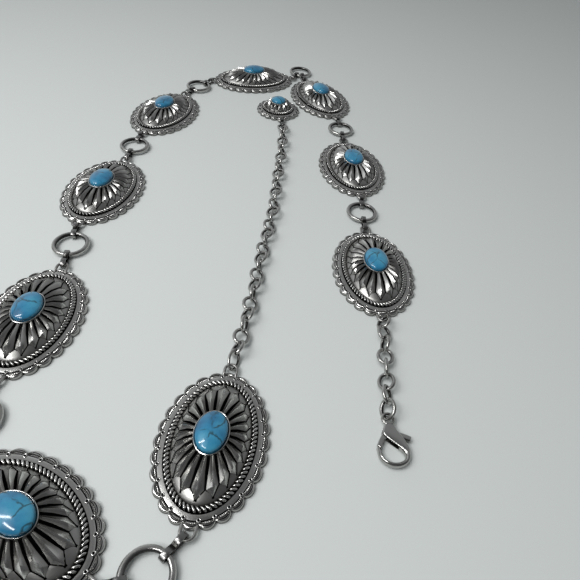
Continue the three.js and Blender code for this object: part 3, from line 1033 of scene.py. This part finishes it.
# The casting is rebuilt in fine steps, eased, and rounded over towards its outline like thick wire
def rounded(piece):
    s = claspSizes
    steps = piece.modifiers.new("steps", "REMESH")
    steps.mode = "VOXEL"
    steps.voxel_size = s["step"] * mm
    applied(piece)
    outline = [point * mm for point in plateOutline(claspBodyRows, claspCorners)]
    edges = list(zip(outline, outline[1:] + outline[:1]))
    for vertex in piece.data.vertices:
        x, y, z = vertex.co
        if math.hypot(x, y) < s["eyeDiameter"] / 2 * mm:
            continue
        here = Vector((x, y, 0))
        depth = min(distanceToEdge(here, *edge) for edge in edges)
        toHook = min(1, max(0, (x / (reach * mm) - s["slotEnd"]) / s["wireBlend"]))
        straight = (s["straightWall"] + (s["straightWire"] - s["straightWall"]) * toHook) * mm
        if abs(z) > straight:
            drop = 1 - min(1, depth / (s["roundOver"] * mm))
            keep = math.sqrt(max(0, 1 - drop * drop))
            keep = s["leastRound"] + (1 - s["leastRound"]) * keep
            vertex.co.z = math.copysign(straight + (abs(z) - straight) * keep, z)
    easing = piece.modifiers.new("easing", "SMOOTH")
    easing.iterations = s["easing"]
    return applied(piece)


def claspBody():
    s = claspSizes
    body = cutPlate("claspBody", claspBodyRows, claspCorners, s["thickness"], s["bodyEdge"])
    top, bottom = s["slotStart"] * reach, s["slotEnd"] * reach
    bpy.ops.mesh.primitive_cube_add(size=1, location=((top + bottom) / 2 * mm, 0, 0))
    slotTool = bpy.context.object
    slotTool.scale = ((bottom - top) * mm, 3 * s["width"] * mm, (s["leverThickness"] + s["slotRoom"]) * mm)
    settle(slotTool)
    cutAway(body, slotTool)
    bpy.ops.mesh.primitive_torus_add(major_radius=(s["eyeDiameter"] - s["eyeWire"]) / 2 * mm,
                                     minor_radius=s["eyeWire"] / 2 * mm, major_segments=36, minor_segments=14,
                                     location=(0, 0, (s["eyeHeight"] - s["thickness"] / 2) * mm))
    eye = settle(bpy.context.object)
    bpy.ops.mesh.primitive_cylinder_add(vertices=24, radius=s["pinDiameter"] / 2 * mm,
                                        depth=s["thickness"] * mm, location=(s["pivot"] * reach * mm, 0, 0))
    pin = bevelled(settle(bpy.context.object), s["pinHead"], 3)
    return smooth(rounded(joined("claspBody", [body, eye, pin])), crispEdges["wire"])


def claspLever():
    s = claspSizes
    lever = cutPlate("claspLever", leverRows, leverCorners, s["leverThickness"], s["leverEdge"])
    return smooth(lever, s["leverCrisp"])


# The clasp is turned, then moved so that its lever lies over the lever's solid
def claspMatrix():
    probe = claspLever()
    turn = Matrix.Rotation(math.radians(claspSizes["heading"]), 4, "Z")
    probe.data.transform(turn)
    place = Vector((*shiftTo(probe, "clasp_lever"), claspSizes["thickness"] / 2 * mm))
    bpy.data.objects.remove(probe)
    return Matrix.Translation(place) @ turn


claspPlace = claspMatrix()
clasp = claspBody()
clasp.data.transform(claspPlace)
standFor(clasp, "clasp_body")
lever = claspLever()
lever.data.transform(claspPlace)
standFor(lever, "clasp_lever", "lever")
print("clasp made")


# Materials

# A socket is linked and a plain value is set
def feed(tree, socket, value):
    if isinstance(value, bpy.types.NodeSocket):
        tree.links.new(value, socket)
    else:
        socket.default_value = value


def objectPlace(tree):
    return tree.nodes.new("ShaderNodeTexCoord").outputs["Object"]


def noise(tree, source, scale, detail=2):
    node = tree.nodes.new("ShaderNodeTexNoise")
    feed(tree, node.inputs["Vector"], source)
    feed(tree, node.inputs["Scale"], scale)
    feed(tree, node.inputs["Detail"], detail)
    return node


def cells(tree, source, scale, feature):
    node = tree.nodes.new("ShaderNodeTexVoronoi")
    node.feature = feature
    feed(tree, node.inputs["Vector"], source)
    feed(tree, node.inputs["Scale"], scale)
    return node.outputs["Distance"]


def ramp(tree, source, stops):
    node = tree.nodes.new("ShaderNodeValToRGB")
    while len(node.color_ramp.elements) < len(stops):
        node.color_ramp.elements.new(0.5)
    for element, (position, value) in zip(node.color_ramp.elements, stops):
        element.position = position
        element.color = value if isinstance(value, tuple) else (value, value, value, 1)
    feed(tree, node.inputs["Fac"], source)
    return node.outputs["Color"]


def mapRange(tree, source, low, high, toLow=0, toHigh=1, kind="LINEAR"):
    node = tree.nodes.new("ShaderNodeMapRange")
    node.interpolation_type = kind
    for label, value in (("From Min", low), ("From Max", high), ("To Min", toLow), ("To Max", toHigh)):
        feed(tree, node.inputs[label], value)
    feed(tree, node.inputs["Value"], source)
    return node.outputs["Result"]


def mathNode(tree, operation, first, second, clamp=False):
    node = tree.nodes.new("ShaderNodeMath")
    node.operation = operation
    node.use_clamp = clamp
    feed(tree, node.inputs[0], first)
    feed(tree, node.inputs[1], second)
    return node.outputs[0]


def newGroup(name, inputs, outputs):
    group = bpy.data.node_groups.new(name, "ShaderNodeTree")
    for way, labels in (("INPUT", inputs), ("OUTPUT", outputs)):
        for label in labels:
            group.interface.new_socket(label, in_out=way, socket_type="NodeSocketFloat")
    return group, group.nodes.new("NodeGroupInput"), group.nodes.new("NodeGroupOutput")


# Cloudy wear: a coarse mottling and a fine grain, on the object's own coordinates
wearLook = {"detail": 4, "low": 0.3, "high": 0.7}


def makeWearGroup():
    group, start, end = newGroup("wearMottle", ["Coarse", "Fine"], ["Mottle", "Grain"])
    place = objectPlace(group)
    for label, target in (("Coarse", "Mottle"), ("Fine", "Grain")):
        cloud = noise(group, place, start.outputs[label], wearLook["detail"]).outputs["Fac"]
        feed(group, end.inputs[target], mapRange(group, cloud, wearLook["low"], wearLook["high"]))
    return group


# Fine scratches in two directions
scratchLook = {"turns": (0.6, 2.3), "stretch": (1, 14, 14)}


def makeScratchGroup():
    group, start, end = newGroup("fineScratches", ["Scale"], ["Height"])
    place = objectPlace(group)
    lines = []
    for turn in scratchLook["turns"]:
        mapping = group.nodes.new("ShaderNodeMapping")
        feed(group, mapping.inputs["Rotation"], (0, 0, turn))
        feed(group, mapping.inputs["Scale"], scratchLook["stretch"])
        feed(group, mapping.inputs["Vector"], place)
        lines.append(noise(group, mapping.outputs["Vector"], start.outputs["Scale"]).outputs["Fac"])
    feed(group, end.inputs["Height"], mathNode(group, "ADD", *lines))
    return group


wearMottle = makeWearGroup()
fineScratches = makeScratchGroup()


def newMaterial(name):
    material = bpy.data.materials.new(name)
    material.use_nodes = True
    return material, material.node_tree, material.node_tree.nodes["Principled BSDF"]


def useGroup(tree, group, values):
    node = tree.nodes.new("ShaderNodeGroup")
    node.node_tree = group
    for label, value in values.items():
        node.inputs[label].default_value = value
    return node.outputs


bumpDistance = 0.0002


def addBump(tree, shader, height, strength):
    bump = tree.nodes.new("ShaderNodeBump")
    feed(tree, bump.inputs["Strength"], strength)
    feed(tree, bump.inputs["Distance"], bumpDistance)
    feed(tree, bump.inputs["Height"], height)
    feed(tree, shader.inputs["Normal"], bump.outputs["Normal"])


# Metal whose tone runs from worn ridges to recesses darkened by painted shade and patina, made uneven by the
# wear
def wornMetal(name, look):
    material, tree, shader = newMaterial(name)
    shader.inputs["Metallic"].default_value = 1
    # The per-vertex darkness: painted shade on every metal part, with patina on the silver
    shadeAndPatina = tree.nodes.new("ShaderNodeAttribute")
    shadeAndPatina.attribute_name = "shadeAndPatina"
    wear = useGroup(tree, wearMottle, {"Coarse": look["coarse"], "Fine": look["fine"]})
    scratches = useGroup(tree, fineScratches, {"Scale": look["scratches"]})["Height"]
    cloud = mathNode(tree, "MULTIPLY", wear["Mottle"], look["uneven"])
    wearShadeAndPatina = mathNode(tree, "ADD", shadeAndPatina.outputs["Fac"], cloud, clamp=True)
    feed(tree, shader.inputs["Base Color"], ramp(tree, wearShadeAndPatina, look["tones"]))
    return material, tree, shader, wear, scratches, wearShadeAndPatina


# The dark end of the tones shows painted shade, with black patina in the grooves
castSilverLook = {
    "tones": [(0.0, (0.8, 0.79, 0.77, 1)), (0.15, (0.45, 0.445, 0.43, 1)), (0.4, (0.3, 0.295, 0.285, 1)),
              (0.75, (0.002, 0.002, 0.002, 1))],
    "gloss": [(0.0, 0.18), (0.12, 0.2), (0.2, 0.34), (0.8, 0.5)],
    "edge": (0.35, 0.35, 0.35, 1),
    "coarse": 170,
    "fine": 2200,
    "scratches": 500,
    "uneven": 0.1,
    "bump": 0.05,
}


def castSilver():
    look = castSilverLook
    material, tree, shader, wear, scratches, wearShadeAndPatina = wornMetal("antiqueCastSilver", look)
    shader.inputs["Specular Tint"].default_value = look["edge"]
    feed(tree, shader.inputs["Roughness"], ramp(tree, wearShadeAndPatina, look["gloss"]))
    addBump(tree, shader, mathNode(tree, "ADD", wear["Grain"], scratches), look["bump"])
    return material


# The dark end of the tones shows painted shade on the inner sides of wires and in the pinched waists
nickelLook = {
    "tones": [(0.1, (0.46, 0.455, 0.44, 1)), (0.4, (0.3, 0.295, 0.29, 1)), (0.9, (0.03, 0.03, 0.028, 1))],
    "wireGloss": 0.16,
    "claspGloss": 0.1,
    "glossSpread": 0.14,
    "coarse": 260,
    "fine": 2600,
    "scratches": 700,
    "uneven": 0.2,
    "bump": 0.06,
}


def nickel(name, roughness):
    look = nickelLook
    material, tree, shader, wear, scratches, _ = wornMetal(name, look)
    gloss = [(0.0, roughness), (1.0, roughness + look["glossSpread"])]
    feed(tree, shader.inputs["Roughness"], ramp(tree, wear["Mottle"], gloss))
    addBump(tree, shader, scratches, look["bump"])
    return material


stoneLook = {
    "blues": [(0.0, (0.01, 0.08, 0.165, 1)), (0.45, (0.02, 0.15, 0.27, 1)), (1.0, (0.04, 0.22, 0.34, 1))],
    "cloud": {"scale": 120, "detail": 5, "low": 0.32, "high": 0.68},
    "warp": {"scale": 300, "detail": 3, "reach": 0.0025},
    "vein": {"scale": 130, "stops": [(0.0, 0.9), (0.018, 0.6), (0.045, 0.0)]},
    "veinColour": (0.012, 0.03, 0.035, 1),
    "patch": {"scale": 240, "stops": [(0.42, 0.0), (0.52, 1.0)]},
    "speck": {"scale": 420, "stops": [(0.0, 0.7), (0.06, 0.4), (0.11, 0.0)]},
    "gloss": {"Roughness": 0.16, "Coat Weight": 0.6, "Coat Roughness": 0.04},
}


# Clouded blue with thin warped veins in some patches and small dark specks
def turquoiseStone():
    look = stoneLook
    material, tree, shader = newMaterial("turquoiseCabochon")
    place = objectPlace(tree)
    s = look["cloud"]
    cloud = noise(tree, place, s["scale"], s["detail"]).outputs["Fac"]
    base = ramp(tree, mapRange(tree, cloud, s["low"], s["high"]), look["blues"])
    s = look["warp"]
    warped = tree.nodes.new("ShaderNodeVectorMath")
    warped.operation = "MULTIPLY_ADD"
    feed(tree, warped.inputs[0], noise(tree, place, s["scale"], s["detail"]).outputs["Color"])
    feed(tree, warped.inputs[1], (s["reach"], s["reach"], s["reach"]))
    feed(tree, warped.inputs[2], place)
    s = look["vein"]
    vein = ramp(tree, cells(tree, warped.outputs["Vector"], s["scale"], "DISTANCE_TO_EDGE"), s["stops"])
    s = look["patch"]
    patch = ramp(tree, noise(tree, place, s["scale"]).outputs["Fac"], s["stops"])
    s = look["speck"]
    speck = ramp(tree, cells(tree, place, s["scale"], "F1"), s["stops"])
    mix = tree.nodes.new("ShaderNodeMix")
    mix.data_type = "RGBA"
    veins = mathNode(tree, "MULTIPLY", vein, patch)
    feed(tree, mix.inputs["Factor"], mathNode(tree, "MAXIMUM", veins, speck))
    feed(tree, mix.inputs["A"], base)
    feed(tree, mix.inputs["B"], look["veinColour"])
    feed(tree, shader.inputs["Base Color"], mix.outputs["Result"])
    for label, value in look["gloss"].items():
        shader.inputs[label].default_value = value
    return material


def dress(piece, material):
    piece.data.materials.clear()
    piece.data.materials.append(material)


silverMaterial = castSilver()
nickelMaterial = nickel("polishedNickel", nickelLook["wireGloss"])
claspMaterial = nickel("claspNickel", nickelLook["claspGloss"])
stoneMaterial = turquoiseStone()
for piece in conchos:
    dress(piece, silverMaterial)
for piece in stones:
    dress(piece, stoneMaterial)
for piece in rings + strips + [extender, shortChain, bail]:
    dress(piece, nickelMaterial)
for piece in (clasp, lever):
    dress(piece, claspMaterial)
print("materials given")


# Floor and lights

floorLook = {"colour": (0.475, 0.5, 0.49, 1), "size": 6, "roughness": 0.75}


def makeFloor():
    bpy.ops.mesh.primitive_plane_add(size=floorLook["size"], location=(0, 0, 0))
    floor = bpy.context.object
    floor.name = "table"
    material, _, shader = newMaterial("paleTable")
    shader.inputs["Base Color"].default_value = floorLook["colour"]
    shader.inputs["Roughness"].default_value = floorLook["roughness"]
    dress(floor, material)


# The broad light fills the table and isn't mirrored in the metal. The two strips are: they make the bright
# lines on the metal and the bent highlight on the stones.
lightAim = (0, -0.04, 0)
lightSettings = [
    {"name": "broadLight", "at": (-0.22, -0.14, 0.64), "size": (0.5, 0.5), "power": 3.25, "mirrored": False},
    {"name": "longStrip", "at": (-0.5, -0.22, 0.66), "size": (0.07, 0.5), "power": 1.7, "mirrored": True},
    {"name": "crossStrip", "at": (-0.3, -0.5, 0.64), "size": (0.4, 0.08), "power": 1.7, "mirrored": True},
]
# The room that the metal mirrors: dim towards the camera, paler beyond the belt
roomLook = {"near": 0.11, "far": 0.38, "from": -0.15, "to": 0.6, "colour": (0.84, 0.87, 0.88, 1)}
# Pale parts of the room, high on the left and low on the far left, that light the flanks of the petals
paleSides = [
    {"towards": (-0.62, -0.18, 0.76), "from": 0.82, "to": 0.97, "strength": 1.0},
    {"towards": (-0.66, 0.72, 0.2), "from": 0.75, "to": 0.95, "strength": 0.35},
]


def makeLights():
    for s in lightSettings:
        bpy.ops.object.light_add(type="AREA", location=s["at"])
        light = bpy.context.object
        light.name = s["name"]
        light.data.shape = "RECTANGLE"
        light.data.size, light.data.size_y = s["size"]
        light.data.energy = s["power"]
        light.visible_glossy = s["mirrored"]
        toward = Vector(lightAim) - Vector(s["at"])
        light.rotation_euler = toward.to_track_quat("-Z", "Y").to_euler()


def makeRoom():
    look = roomLook
    world = bpy.data.worlds.new("softRoom")
    bpy.context.scene.world = world
    world.use_nodes = True
    tree = world.node_tree
    direction = tree.nodes.new("ShaderNodeTexCoord").outputs["Generated"]
    parts = tree.nodes.new("ShaderNodeSeparateXYZ")
    feed(tree, parts.inputs["Vector"], direction)
    away = parts.outputs["Y"]
    light = mapRange(tree, away, look["from"], look["to"], look["near"], look["far"], "SMOOTHSTEP")
    for side in paleSides:
        towards = tree.nodes.new("ShaderNodeVectorMath")
        towards.operation = "DOT_PRODUCT"
        feed(tree, towards.inputs[0], direction)
        feed(tree, towards.inputs[1], side["towards"])
        facing = towards.outputs["Value"]
        glow = mapRange(tree, facing, side["from"], side["to"], 0, side["strength"], "SMOOTHSTEP")
        light = mathNode(tree, "ADD", light, glow)
    background = tree.nodes["Background"]
    background.inputs["Color"].default_value = look["colour"]
    feed(tree, background.inputs["Strength"], light)


makeFloor()
makeLights()
makeRoom()
bpy.context.scene.view_settings.view_transform = "Standard"
print("floor and lights made")
